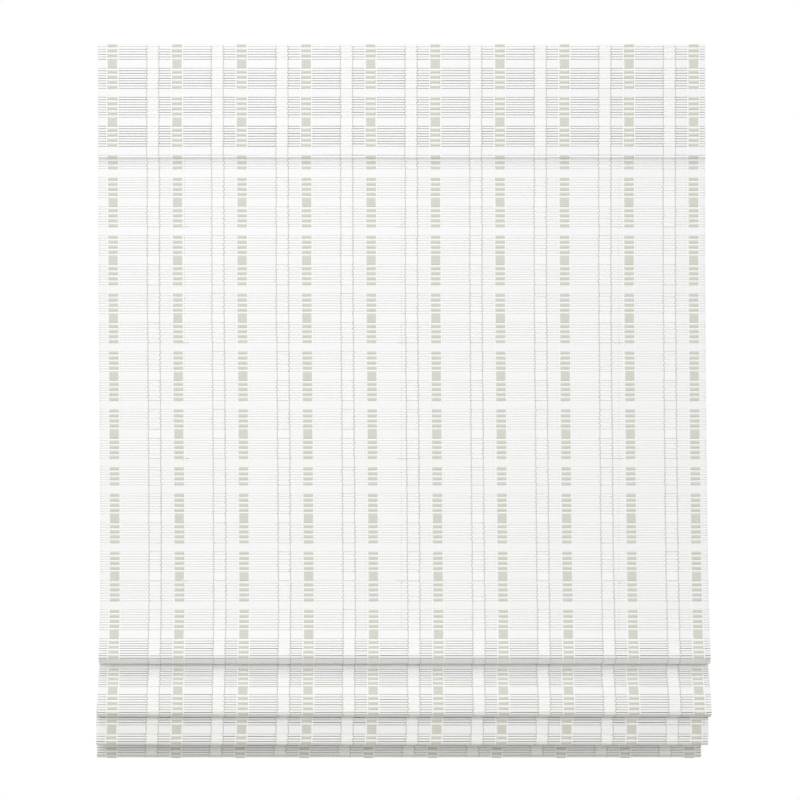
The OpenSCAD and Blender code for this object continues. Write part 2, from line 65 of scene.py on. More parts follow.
class Wire:
    # a socket of a material's tree, for sums written with operators
    def __init__(self, tree, socket):
        self.tree = tree
        self.socket = socket

    def make(self, kind, settings, inputs, output=0):
        # a node of this kind: settings first, then the values or links of its sockets
        made = self.tree.nodes.new(kind)
        for name, value in settings.items():
            setattr(made, name, value)
        for key, value in inputs.items():
            if isinstance(value, Wire):
                self.tree.links.new(value.socket, made.inputs[key])
            else:
                made.inputs[key].default_value = value
        return Wire(self.tree, made.outputs[output])

    def sum(self, operation, first, second=None):
        values = {0: first} if second is None else {0: first, 1: second}
        return self.make("ShaderNodeMath", {"operation": operation}, values)

    def __add__(self, other):
        return self.sum("ADD", self, other)

    def __radd__(self, other):
        return self.sum("ADD", other, self)

    def __sub__(self, other):
        return self.sum("SUBTRACT", self, other)

    def __rsub__(self, other):
        return self.sum("SUBTRACT", other, self)

    def __mul__(self, other):
        return self.sum("MULTIPLY", self, other)

    def __rmul__(self, other):
        return self.sum("MULTIPLY", other, self)

    def sine(self):
        return self.sum("SINE", self)

    def blend(self, first, second):
        # colour between first and second, by this value
        return self.make("ShaderNodeMix", {"data_type": "RGBA", "clamp_factor": True},
                         {0: self, 6: first, 7: second}, 2)

    def span(self, low, high, toLow=0.0, toHigh=1.0):
        return self.make("ShaderNodeMapRange", {}, {0: self, 1: low, 2: high, 3: toLow, 4: toHigh})


def rgb(red, green, blue):
    return (red, green, blue, 1.0)


def newFinish(name, roughness, **sockets):
    material = bpy.data.materials.new(name)
    material.use_nodes = True
    shader = material.node_tree.nodes["Principled BSDF"]
    shader.inputs["Roughness"].default_value = roughness
    for socket, value in sockets.items():
        shader.inputs[socket.replace("_", " ")].default_value = value
    return material, shader, Wire(material.node_tree, None)


def place(start, attribute=None):
    # a piece's own coordinates, or one of its attributes
    if attribute:
        return start.make("ShaderNodeAttribute", {"attribute_name": attribute}, {}, 1)
    return start.make("ShaderNodeTexCoord", {}, {}, 3)


def stretched(start, vector, scale):
    return start.make("ShaderNodeMapping", {}, {"Vector": vector, "Scale": scale})


def noise(start, vector, scale, detail=3.0, roughness=0.5):
    return start.make("ShaderNodeTexNoise", {},
                      {"Vector": vector, "Scale": scale, "Detail": detail, "Roughness": roughness})


def bumped(start, shader, height, strength, distance):
    bump = start.make("ShaderNodeBump", {}, {"Height": height, "Strength": strength, "Distance": distance})
    start.tree.links.new(bump.socket, shader.inputs["Normal"])


def wired(start, wire, shader, socket):
    start.tree.links.new(wire.socket, shader.inputs[socket])


# in each finish, roughSpan is the roughness at the low and the high end of its pattern
# in reedPaint, the dark olive colour and its two depths are painted shade on the reeds' sides, by the gaps between
# them
reedPaint = {"reed": rgb(0.95, 0.95, 0.955), "reedDull": rgb(0.89, 0.89, 0.892),
             "slat": rgb(0.89, 0.89, 0.896), "slatDull": rgb(0.83, 0.83, 0.832),
             "gapShade": rgb(0.40, 0.39, 0.32), "gapShadeFrom": 0.8 * mm, "gapShadeTo": 0.2 * mm,
             "roughness": 0.52, "roughSpan": (0.44, 0.62), "gloss": 0.35, "grain": (14.0, 900.0, 900.0),
             "pores": (60.0, 2600.0, 2600.0), "bump": 0.35, "bumpDepth": 0.25 * mm}


def paintedReedFinish():
    # white paint over wood: fine grain along each reed, painted shade on each reed's sides towards the gaps, and
    # no two reeds alike
    look = reedPaint
    material, shader, start = newFinish("paintedReed", look["roughness"], Specular_IOR_Level=look["gloss"])
    weave = place(start, "weave")
    grain = noise(start, stretched(start, weave, look["grain"]), 1.0, 4.0, 0.6)
    pores = noise(start, stretched(start, weave, look["pores"]), 1.0, 2.0, 0.7)
    number = start.make("ShaderNodeAttribute", {"attribute_name": "stick"}, {}, 2)
    tint = start.make("ShaderNodeTexWhiteNoise", {"noise_dimensions": "1D"}, {"W": number})
    dullness = grain.span(0.35, 0.8) * 0.5 + tint * 0.35 + pores.span(0.6, 0.85) * 0.2
    depth = start.sum("ABSOLUTE", start.make("ShaderNodeSeparateXYZ", {}, {0: weave}, 1))
    # painted shade: a dark olive colour on the sides of each reed, darkest near its mid-plane, where the gaps
    # between reeds lie
    gapShade = depth.span(look["gapShadeFrom"], look["gapShadeTo"])
    broad = start.make("ShaderNodeAttribute", {"attribute_name": "broad"}, {}, 2)
    reeds, slats = (dullness.blend(look[kind], look[kind + "Dull"]) for kind in ("reed", "slat"))
    paint = broad.blend(reeds, slats)
    wired(start, gapShade.blend(paint, look["gapShade"]), shader, "Base Color")
    wired(start, grain.span(0.3, 0.8, *look["roughSpan"]), shader, "Roughness")
    bumped(start, shader, grain * 0.7 + pores * 0.3, look["bump"], look["bumpDepth"])
    return material


# each yarn's colours are for its raised plies and for the hollows between them; the darker one is painted shade in
# the hollows, and also marks uneven fibres and wear
yarnSpin = {"accentYarn": (rgb(0.79, 0.785, 0.725), rgb(0.56, 0.55, 0.49)),
            "whiteYarn": (rgb(0.95, 0.95, 0.94), rgb(0.90, 0.90, 0.885)),
            "bindingYarn": (rgb(0.79, 0.785, 0.74), rgb(0.66, 0.65, 0.61)),
            "twist": 2200.0, "slant": 2.2, "fibres": (1.5, 1500.0, 9.0), "wear": (0.4, 60.0, 5.0),
            "roughness": 0.85, "roughSpan": (0.95, 0.78), "sheen": 0.25, "gloss": 0.2, "bump": 0.5,
            "bumpDepth": 0.3 * mm}


def yarnFinish(name):
    # spun yarn: slanting plies and loose fibres along the thread, with painted shade in the hollows between the
    # plies
    look = yarnSpin
    raised, hollowShade = look[name]
    material, shader, start = newFinish(name, look["roughness"], Sheen_Weight=look["sheen"],
                                        Specular_IOR_Level=look["gloss"])
    thread = place(start, "thread")
    around = start.make("ShaderNodeSeparateXYZ", {}, {0: thread})
    along = Wire(start.tree, around.socket.node.outputs[1])
    ply = ((along * look["twist"]) + (around * look["slant"])).sine() * 0.5 + 0.5
    fibres = noise(start, stretched(start, thread, look["fibres"]), 1.0, 4.0, 0.7)
    wear = noise(start, stretched(start, thread, look["wear"]), 1.0, 2.0)
    height = ply * 0.45 + fibres.span(0.3, 0.75) * 0.4 + wear * 0.15
    # painted shade: the ply pattern darkens the hollows between the plies; fibres and wear vary the tone
    wired(start, height.blend(hollowShade, raised), shader, "Base Color")
    wired(start, fibres.span(0.3, 0.8, *look["roughSpan"]), shader, "Roughness")
    bumped(start, shader, ply * 0.7 + fibres * 0.3, look["bump"], look["bumpDepth"])
    return material


steelPaint = {"clean": rgb(0.87, 0.87, 0.865), "dusty": rgb(0.8, 0.8, 0.79), "peel": 900.0, "dust": 35.0,
              "roughness": 0.4, "roughSpan": (0.34, 0.5), "coat": 0.2, "bump": 0.12, "bumpDepth": 0.2 * mm}


def paintedSteelFinish():
    # baked paint with a faint orange peel, and dust in patches
    look = steelPaint
    material, shader, start = newFinish("paintedSteel", look["roughness"], Coat_Weight=look["coat"])
    own = place(start)
    peel = noise(start, own, look["peel"], 2.0)
    dust = noise(start, own, look["dust"], 5.0, 0.6)
    wired(start, dust.span(0.35, 0.75).blend(look["clean"], look["dusty"]), shader, "Base Color")
    wired(start, dust.span(0.3, 0.8, *look["roughSpan"]), shader, "Roughness")
    bumped(start, shader, peel, look["bump"], look["bumpDepth"])
    return material


zincPlate = {"dark": rgb(0.5, 0.51, 0.53), "bright": rgb(0.78, 0.79, 0.8), "lines": (8.0, 900.0, 900.0),
             "clouds": 120.0, "roughness": 0.35, "roughSpan": (0.28, 0.45), "bump": 0.1,
             "bumpDepth": 0.1 * mm}


def zincSteelFinish():
    # zinc plate: rolling lines along X with faint cloudy patches
    look = zincPlate
    material, shader, start = newFinish("zincSteel", look["roughness"], Metallic=1.0)
    own = place(start)
    lines = noise(start, stretched(start, own, look["lines"]), 1.0, 3.0, 0.6)
    clouds = noise(start, own, look["clouds"], 3.0)
    wired(start, (lines * 0.6 + clouds * 0.4).blend(look["dark"], look["bright"]), shader, "Base Color")
    wired(start, lines.span(0.3, 0.7, *look["roughSpan"]), shader, "Roughness")
    bumped(start, shader, lines, look["bump"], look["bumpDepth"])
    return material


nylonMoulding = {"pale": rgb(0.82, 0.82, 0.8), "dull": rgb(0.74, 0.74, 0.715), "grain": 1400.0,
                 "flow": 60.0, "roughness": 0.45, "roughSpan": (0.4, 0.55), "glow": 0.05, "bump": 0.1,
                 "bumpDepth": 0.1 * mm}


def nylonFinish():
    # moulded nylon: a fine grain, and faint flow marks
    look = nylonMoulding
    material, shader, start = newFinish("nylonMoulding", look["roughness"], Subsurface_Weight=look["glow"])
    own = place(start)
    grain = noise(start, own, look["grain"], 2.0)
    flow = noise(start, own, look["flow"], 3.0)
    wired(start, flow.span(0.3, 0.75).blend(look["pale"], look["dull"]), shader, "Base Color")
    wired(start, grain.span(0.3, 0.7, *look["roughSpan"]), shader, "Roughness")
    bumped(start, shader, grain, look["bump"], look["bumpDepth"])
    return material


loopTape = {"low": rgb(0.7, 0.7, 0.69), "high": rgb(0.87, 0.87, 0.86), "loops": 1300.0, "fuzz": 700.0,
            "roughness": 0.95, "roughSpan": (0.85, 1.0), "sheen": 0.4, "bump": 0.6, "bumpDepth": 0.5 * mm}


def tapeFinish():
    # hook and loop tape: close small loops with fuzz over them
    look = loopTape
    material, shader, start = newFinish("loopTape", look["roughness"], Sheen_Weight=look["sheen"])
    own = place(start)
    loops = start.make("ShaderNodeTexVoronoi", {}, {"Vector": own, "Scale": look["loops"]})
    fuzz = noise(start, own, look["fuzz"], 4.0, 0.7)
    wired(start, (loops + fuzz * 0.4).span(0.2, 0.9).blend(look["low"], look["high"]), shader, "Base Color")
    wired(start, fuzz.span(0.3, 0.7, *look["roughSpan"]), shader, "Roughness")
    bumped(start, shader, loops + fuzz * 0.5, look["bump"], look["bumpDepth"])
    return material


cordBraid = {"low": rgb(0.66, 0.66, 0.64), "high": rgb(0.86, 0.86, 0.85), "plies": 1900.0, "slant": 3.0,
             "fibres": (2.0, 2200.0, 5.0), "roughness": 0.7, "roughSpan": (0.62, 0.8), "sheen": 0.2,
             "bump": 0.6, "bumpDepth": 0.2 * mm}


def cordFinish():
    # braid: two sets of plies that cross round the cord, with painted shade between the crossing plies
    look = cordBraid
    material, shader, start = newFinish("braidedCord", look["roughness"], Sheen_Weight=look["sheen"])
    thread = place(start, "thread")
    around = start.make("ShaderNodeSeparateXYZ", {}, {0: thread})
    along = Wire(start.tree, around.socket.node.outputs[1]) * look["plies"]
    turn = around * look["slant"]
    braid = (along + turn).sine() * (along - turn).sine() * 0.5 + 0.5
    fibres = noise(start, stretched(start, thread, look["fibres"]), 1.0, 3.0, 0.6)
    # painted shade: the low colour falls between the crossing plies, mixed with fibre tone
    wired(start, (braid * 0.7 + fibres * 0.3).blend(look["low"], look["high"]), shader, "Base Color")
    wired(start, fibres.span(0.3, 0.7, *look["roughSpan"]), shader, "Roughness")
    bumped(start, shader, braid, look["bump"], look["bumpDepth"])
    return material


finishes = {
    "painted_reed": paintedReedFinish(),
    "accent_yarn": yarnFinish("accentYarn"),
    "white_yarn": yarnFinish("whiteYarn"),
    "painted_steel": paintedSteelFinish(),
    "zinc_steel": zincSteelFinish(),
    "nylon": nylonFinish(),
    "tape": tapeFinish(),
    "cord": cordFinish(),
}
bindingYarn = yarnFinish("bindingYarn")

slotOf = {part["node"]: part["material_slot"] for part in frame["record"]["subparts"]}
for name, node in nodes.items():
    node.data.materials.clear()
    node.data.materials.append(finishes[slotOf[name]])
print("materials made")

mat = {"width": 850 * mm, "reedPitch": 3.53 * mm, "slatPitch": 12.3 * mm, "thickness": 2.2 * mm,
       "reedsBetween": 8, "leadReeds": 2, "oddGroups": {14: 7, 22: 10, 30: 14, 32: 5}, "lastSlat": 32,
       "shadeY": -28.5 * mm, "shadeTop": -5.8 * mm, "valanceY": -33.1 * mm, "valanceTop": -1 * mm,
       "frontSlope": (29, 36, 46), "lipSlope": (14, 12), "rearSlope": (161, 142, 148),
       "lean": (1.5, 3, 7, 15), "valanceLead": 6, "valanceSlats": 4, "heldDown": -58 * mm}
reed, slat = mat["reedPitch"], mat["slatPitch"]

shadeRow = [reed] * mat["leadReeds"]
slatStart = []
for k in range(mat["lastSlat"] + 1):
    slatStart.append(sum(shadeRow))
    shadeRow += [slat] + [reed] * mat["oddGroups"].get(k, mat["reedsBetween"])
valanceRow = ([reed] * mat["valanceLead"] + [slat]
              + ([reed] * mat["reedsBetween"] + [slat]) * (mat["valanceSlats"] - 1) + [reed])


def bend(start, slopes):
    return [(start + (i + 0.5) * reed, slope) for i, slope in enumerate(slopes)]


def slopeTable():
    # the shade's slope along its length, in degrees from straight down, forward positive; bend gives
    # the slopes of the single reeds round a tip
    s, front, rear = slatStart, mat["frontSlope"], mat["rearSlope"]
    lip, lean = mat["lipSlope"], mat["lean"]
    mid = [start + slat / 2 for start in s]
    after = [start + slat for start in s]
    return ([(0, 0), (s[11], 0), (s[15], lean[0]), (s[17], lean[1]), (s[19], lean[2]), (mid[20], lean[3]),
             (s[21] - 1.5 * reed, front[0]), (s[21] - 0.5 * reed, -11), (mid[21], -52)]
            + bend(after[21], [-92, -128, -rear[0]])
            + [(s[22] - 0.5 * reed, -rear[0]), (mid[22], -116)]
            + bend(after[22], [-75, -35, 3, front[1]])
            + [(mid[24], front[1])]
            + bend(after[24], [lip[0] + 6, lip[0]])
            + [(s[25] - 1.5 * reed, lip[0]), (s[25] - 0.5 * reed, -31), (mid[25], -72)]
            + bend(after[25], [-112, -rear[1]])
            + bend(after[26], [-rear[1], -102, -62, -22, 16, front[2]])
            + bend(after[27] + 4 * reed, [front[2], lip[1] + 8, lip[1]])
            + [(mid[28], lip[1])]
            + bend(after[28], [lip[1], lip[1], lip[1] - 5, -28, -66, -104, -rear[2]])
            + [(mid[30], -rear[2])]
            + bend(after[30], [-104, -68, -32, 0])
            + [(after[31] + 4.5 * reed, 0)]
            + bend(after[31] + 5 * reed, [-45, -90, -135])
            + [(mid[32], -180), (sum(shadeRow), -180)])


def lookUp(table, at):
    if at <= table[0][0]:
        return table[0][1]
    for (a, low), (b, high) in zip(table, table[1:]):
        if at <= b:
            return low + (high - low) * (at - a) / max(b - a, 1e-9)
    return table[-1][1]


# sideways drift of the hanging cloth: length down the cloth in m, drift in mm
driftTable = [(0, 0), (0.35, 0.6), (0.60, 2.6), (0.80, 4.2), (0.87, 4.2), (0.92, 2.5), (1.037, 4.4),
              (1.087, 1.6), (1.157, 1.6), (1.207, -1.0), (1.259, -3.6), (1.4, -3.6)]


class Line:
    # a row of reeds and slats: its joints [y, z], the length down to each, and each element's slope
    def __init__(self, row, slopes, start, drift):
        self.row, self.slopes, self.drift = row, slopes, drift
        self.joints, self.lengths = [Vector(start)], [0.0]
        for pitch, slope in zip(row, slopes):
            self.joints.append(self.joints[-1] + pitch * self.way(slope))
            self.lengths.append(self.lengths[-1] + pitch)

    def way(self, slope):
        return Vector((-math.sin(math.radians(slope)), -math.cos(math.radians(slope))))

    def front(self, slope):
        return Vector((-math.cos(math.radians(slope)), math.sin(math.radians(slope))))

    def sideways(self, s):
        return lookUp(driftTable, s) * mm if self.drift else 0.0

    def lowest(self, first, last):
        return min(range(first, last), key=lambda i: self.joints[i].y)


table = slopeTable()
starts = [sum(shadeRow[:i]) for i in range(len(shadeRow))]
shadeLine = Line(shadeRow, [lookUp(table, s + pitch / 2) for s, pitch in zip(starts, shadeRow)],
                 (mat["shadeY"], mat["shadeTop"]), True)
valanceLine = Line(valanceRow, [0.0] * len(valanceRow), (mat["valanceY"], mat["valanceTop"]), False)

ringRows = {"first": 261 * mm, "pitch": 163 * mm, "reach": 3 * reed, "foldReach": 5 * reed, "folds": 5}


def ringJoint(row):
    # the rearmost joint of the shade near a row of rings
    s = ringRows["first"] + (row - 1) * ringRows["pitch"]
    reach = ringRows["foldReach"] if row >= ringRows["folds"] else ringRows["reach"]
    near = [i for i, at in enumerate(shadeLine.lengths) if abs(at - s) <= reach + 1e-6]
    return max(near, key=lambda i: (round(shadeLine.joints[i].x, 7), -i))


joint4, joint5, joint6, joint7 = (ringJoint(row) for row in (4, 5, 6, 7))
tip1, tip2, tip3 = (shadeLine.lowest(above, below) for above, below in
                    ((joint4, joint5), (joint5, joint6), (joint6, joint7)))
topJoint = next(i for i, joint in enumerate(shadeLine.joints) if joint.y < mat["heldDown"])
# each stretch of the shade: name, first and last joint, and the bodies that carry its two ends; the one
# that gathers when the blind is raised has squash in their place
stretches = [("Top", 0, topJoint, "headrail", "headrail"),
             ("Flat", topJoint, joint4, "squash", "squash"),
             ("Fold1Front", joint4, tip1, "row_4", "row_4"),
             ("Fold1Rear", tip1, joint5, "row_4", "row_5"),
             ("Fold2Front", joint5, tip2, "row_5", "row_5"),
             ("Fold2Rear", tip2, joint6, "row_5", "row_6"),
             ("Fold3Front", joint6, tip3, "row_6", "row_6"),
             ("Fold3Rear", tip3, joint7, "row_6", "bottom_rail"),
             ("Hem", joint7, len(shadeRow), "bottom_rail", "bottom_rail")]
raiseJoint = next(joint for joint in frame["joints"] if joint["name"] == "raise")
lift, liftWay = raiseJoint["range_m"][1], Vector(raiseJoint["axis"]).normalized()
anchorZ = shadeLine.joints[topJoint].y


def gather(piece, top, low):
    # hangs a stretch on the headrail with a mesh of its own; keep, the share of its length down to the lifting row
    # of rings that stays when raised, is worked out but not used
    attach(piece, "headrail")
    keep = 1 + lift / (low - top).dot(liftWay)
    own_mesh(piece)


print("line of the shade:", [(name, b - a) for name, a, b, *_ in stretches])


def linked(piece):
    bpy.context.scene.collection.objects.link(piece)
    return piece


def newTree(name, sockets):
    tree = bpy.data.node_groups.new(name, "GeometryNodeTree")
    tree.is_modifier = True
    tree.interface.new_socket("Geometry", in_out="INPUT", socket_type="NodeSocketGeometry")
    for label, kind, value in sockets:
        socket = tree.interface.new_socket(label, in_out="INPUT", socket_type="NodeSocket" + kind)
        if value is not None:
            socket.default_value = value
    tree.interface.new_socket("Geometry", in_out="OUTPUT", socket_type="NodeSocketGeometry")
    return tree


def add(tree, kind, settings=None, **inputs):
    made = tree.nodes.new(kind)
    for name, value in (settings or {}).items():
        setattr(made, name, value)
    for key, value in inputs.items():
        socket = made.inputs[int(key[1:]) if key[0] == "i" and key[1:].isdigit() else key.replace("_", " ")]
        if isinstance(value, bpy.types.NodeSocket):
            tree.links.new(value, socket)
        else:
            socket.default_value = value
    return made


def stored(tree, name, kind="FLOAT"):
    return add(tree, "GeometryNodeInputNamedAttribute", {"data_type": kind}, Name=name).outputs[0]


def reckoned(tree, operation, first, second):
    return add(tree, "ShaderNodeMath", {"operation": operation}, i0=first, i1=second).outputs[0]


def grown(name, points, tree, values):
    # runs a tree on a mesh of points and keeps what it makes as a plain mesh
    source = linked(bpy.data.objects.new(name + "Source", points))
    modifier = source.modifiers.new("grow", "NODES")
    modifier.node_group = tree
    for item in tree.interface.items_tree:
        if item.item_type == "SOCKET" and item.in_out == "INPUT" and item.name in values:
            modifier[item.identifier] = values[item.name]
    depsgraph = bpy.context.evaluated_depsgraph_get()
    mesh = bpy.data.meshes.new_from_object(source.evaluated_get(depsgraph), preserve_all_data_layers=True,
                                           depsgraph=depsgraph)
    bpy.data.objects.remove(source)
    mesh.name = name
    return linked(bpy.data.objects.new(name, mesh))


def pointMesh(places, **attributes):
    mesh = bpy.data.meshes.new("points")
    mesh.from_pydata(places, [], [])
    for name, values in attributes.items():
        mesh.attributes.new(name, "FLOAT", "POINT").data.foreach_set("value", values)
    return mesh


# noise that moves the reeds: its scale along a reed, and a shift that keeps the three apart
reedNoise = {"forward": (14.0, 0.0), "up": (9.0, 41.0), "ends": (0.0, 77.0), "row": 7.31}


def stickTree():
    # lays a reed or a slat at each point, turned to the shade's slope, and gives it a slight wave
    tree = newTree("layReeds", [("Reed", "Object", None), ("Slat", "Object", None), ("Wave", "Float", 0.0),
                                ("Uneven Ends", "Float", 0.0), ("Narrowest", "Float", 1.0),
                                ("Seed", "Int", 3), ("Finish", "Material", None)])
    start = tree.nodes.new("NodeGroupInput").outputs
    slope, broad, number = (stored(tree, name) for name in ("slope", "broad", "stick"))
    turn = add(tree, "ShaderNodeCombineXYZ", X=slope).outputs[0]
    width = add(tree, "FunctionNodeRandomValue", {"data_type": "FLOAT"}, i2=start["Narrowest"], i3=1.0,
                Seed=start["Seed"]).outputs[1]
    scale = add(tree, "ShaderNodeCombineXYZ", X=1.0, Y=1.0, Z=width).outputs[0]
    isBroad = add(tree, "FunctionNodeCompare", {"data_type": "FLOAT", "operation": "GREATER_THAN"},
                  i0=broad, i1=0.5).outputs[0]
    isReed = add(tree, "FunctionNodeBooleanMath", {"operation": "NOT"}, i0=isBroad).outputs[0]
    joined = tree.nodes.new("GeometryNodeJoinGeometry")
    for label, chosen, size in (("Reed", isReed, scale), ("Slat", isBroad, (1.0, 1.0, 1.0))):
        shape = add(tree, "GeometryNodeObjectInfo", {"transform_space": "ORIGINAL"},
                    Object=start[label]).outputs["Geometry"]
        laid = add(tree, "GeometryNodeInstanceOnPoints", Points=start["Geometry"], Selection=chosen,
                   Instance=shape, Rotation=turn, Scale=size)
        tree.links.new(laid.outputs[0], joined.inputs[0])
    solid = add(tree, "GeometryNodeRealizeInstances", Geometry=joined.outputs[0]).outputs[0]
    where = add(tree, "GeometryNodeInputPosition").outputs[0]
    x = add(tree, "ShaderNodeSeparateXYZ", i0=where).outputs[0]
    row = reckoned(tree, "MULTIPLY", number, reedNoise["row"])
    offsets = []
    for size, shift in (reedNoise[kind] for kind in ("forward", "up", "ends")):
        along = reckoned(tree, "MULTIPLY", x, size)
        spot = add(tree, "ShaderNodeCombineXYZ", X=along, Y=row, Z=shift).outputs[0]
        value = add(tree, "ShaderNodeTexNoise", {}, Vector=spot, Scale=1.0, Detail=2.0).outputs[0]
        offsets.append(reckoned(tree, "SUBTRACT", value, 0.5))
    forward, up = (reckoned(tree, "MULTIPLY", offset, start["Wave"]) for offset in offsets[:2])
    ends = reckoned(tree, "MULTIPLY", offsets[2], start["Uneven Ends"])
    local = add(tree, "ShaderNodeCombineXYZ", X=ends, Y=forward, Z=up).outputs[0]
    offset = add(tree, "ShaderNodeVectorRotate", {"rotation_type": "X_AXIS"}, Vector=local,
                 Angle=slope).outputs[0]
    moved = add(tree, "GeometryNodeSetPosition", Geometry=solid, Offset=offset).outputs[0]
    done = add(tree, "GeometryNodeSetMaterial", Geometry=moved, Material=start["Finish"]).outputs[0]
    tree.links.new(done, tree.nodes.new("NodeGroupOutput").inputs[0])
    return tree


threadNoise = {"along": 45.0, "row": 3.7}


def threadTree():
    # repeats a woven thread at each point across the mat, and lets it stray a little
    tree = newTree("repeatThreads", [("Thread", "Object", None), ("Crossing Thread", "Object", None),
                                     ("Stray", "Float", 0.0), ("Finish", "Material", None)])
    start = tree.nodes.new("NodeGroupInput").outputs
    crossing, number = stored(tree, "crossing"), stored(tree, "number")
    isCrossing = add(tree, "FunctionNodeCompare", {"data_type": "FLOAT", "operation": "GREATER_THAN"},
                     i0=crossing, i1=0.5).outputs[0]
    isPlain = add(tree, "FunctionNodeBooleanMath", {"operation": "NOT"}, i0=isCrossing).outputs[0]
    joined = tree.nodes.new("GeometryNodeJoinGeometry")
    for label, chosen in (("Thread", isPlain), ("Crossing Thread", isCrossing)):
        shape = add(tree, "GeometryNodeObjectInfo", {"transform_space": "ORIGINAL"},
                    Object=start[label]).outputs["Geometry"]
        laid = add(tree, "GeometryNodeInstanceOnPoints", Points=start["Geometry"], Selection=chosen,
                   Instance=shape)
        tree.links.new(laid.outputs[0], joined.inputs[0])
    solid = add(tree, "GeometryNodeRealizeInstances", Geometry=joined.outputs[0]).outputs[0]
    marks = add(tree, "ShaderNodeSeparateXYZ", i0=stored(tree, "thread", "FLOAT_VECTOR")).outputs
    around, along = marks[0], marks[1]
    numbered = add(tree, "ShaderNodeCombineXYZ", X=around, Y=along, Z=number).outputs[0]
    kept = add(tree, "GeometryNodeStoreNamedAttribute", {"data_type": "FLOAT_VECTOR", "domain": "POINT"},
               Geometry=solid, Name="thread", Value=numbered).outputs[0]
    far = reckoned(tree, "MULTIPLY", along, threadNoise["along"])
    row = reckoned(tree, "MULTIPLY", number, threadNoise["row"])
    spot = add(tree, "ShaderNodeCombineXYZ", X=far, Y=row).outputs[0]
    value = add(tree, "ShaderNodeTexNoise", {}, Vector=spot, Scale=1.0, Detail=3.0).outputs[0]
    stray = reckoned(tree, "MULTIPLY", reckoned(tree, "SUBTRACT", value, 0.5), start["Stray"])
    offset = add(tree, "ShaderNodeCombineXYZ", X=stray).outputs[0]
    moved = add(tree, "GeometryNodeSetPosition", Geometry=kept, Offset=offset).outputs[0]
    done = add(tree, "GeometryNodeSetMaterial", Geometry=moved, Material=start["Finish"]).outputs[0]
    tree.links.new(done, tree.nodes.new("NodeGroupOutput").inputs[0])
    return tree


layReeds, repeatThreads = stickTree(), threadTree()

stick = {"gap": 0.36 * mm, "reedRound": 0.95 * mm, "slatRound": 0.55 * mm, "side": 0.62, "stations": 18,
         "wave": 0.9 * mm, "unevenEnds": 1.2 * mm, "narrowest": 0.91, "valanceFrom": 1000}


def stickObject(name, width, rounding):
    # a stick along X: bevelled section, with its faces' places kept for the grain
    half, deep = width / 2, mat["thickness"] / 2
    flat, cheek = half - rounding, deep - rounding * stick["side"]
    section = [(-deep, -flat), (-deep, flat), (-cheek, half), (cheek, half),
               (deep, flat), (deep, -flat), (cheek, -half), (-cheek, -half)]
    count, sides = stick["stations"], len(section)
    points = [((i / (count - 1) - 0.5) * mat["width"], y, z) for i in range(count) for y, z in section]
    faces = [(i * sides + j, i * sides + (j + 1) % sides,
              (i + 1) * sides + (j + 1) % sides, (i + 1) * sides + j)
             for i in range(count - 1) for j in range(sides)]
    faces += [tuple(range(sides))[::-1], tuple((count - 1) * sides + j for j in range(sides))]
    mesh = bpy.data.meshes.new(name)
    mesh.from_pydata(points, [], faces)
    for edge in mesh.edges:  # the rims of the two ends are sharp
        ends = [vertex // sides for vertex in edge.vertices]
        edge.use_edge_sharp = ends[0] == ends[1] and ends[0] in (0, count - 1)
    mesh.attributes.new("weave", "FLOAT_VECTOR", "POINT").data.foreach_set(
        "vector", [value for point in points for value in point])
    for face in mesh.polygons:
        face.use_smooth = width < 2 * reed and len(face.vertices) == 4
    return linked(bpy.data.objects.new(name, mesh))


reedShape = stickObject("reedShape", reed - stick["gap"], stick["reedRound"])
slatShape = stickObject("slatShape", slat - stick["gap"], stick["slatRound"])


def layStretch(name, line, first, last):
    # the reeds and slats of one stretch, numbered so that no two are alike
    places, slopes, broad, numbers = [], [], [], []
    numberFrom = 0 if line is shadeLine else stick["valanceFrom"]
    for i in range(first, last):
        middle = (line.joints[i] + line.joints[i + 1]) / 2
        s = (line.lengths[i] + line.lengths[i + 1]) / 2
        places.append((line.sideways(s), middle.x, middle.y))
        slopes.append(-math.radians(line.slopes[i]))
        broad.append(1.0 if line.row[i] == slat else 0.0)
        numbers.append(float(i + numberFrom))
    return grown(name, pointMesh(places, slope=slopes, broad=broad, stick=numbers), layReeds,
                 {"Reed": reedShape, "Slat": slatShape, "Wave": stick["wave"],
                  "Uneven Ends": stick["unevenEnds"], "Narrowest": stick["narrowest"],
                  "Finish": finishes["painted_reed"]})


# where a thread's points lie, in shares of the slat or reed that it crosses, and how deep it is laid, in
# shares of its thickness; turn spreads the way round it for its plies
laying = {"slat": (0.07, 0.5, 0.93), "reed": (0.2, 0.8), "behind": (0.45, 0.55), "knot": (0.5,),
          "depth": 0.42, "turn": 0.8}


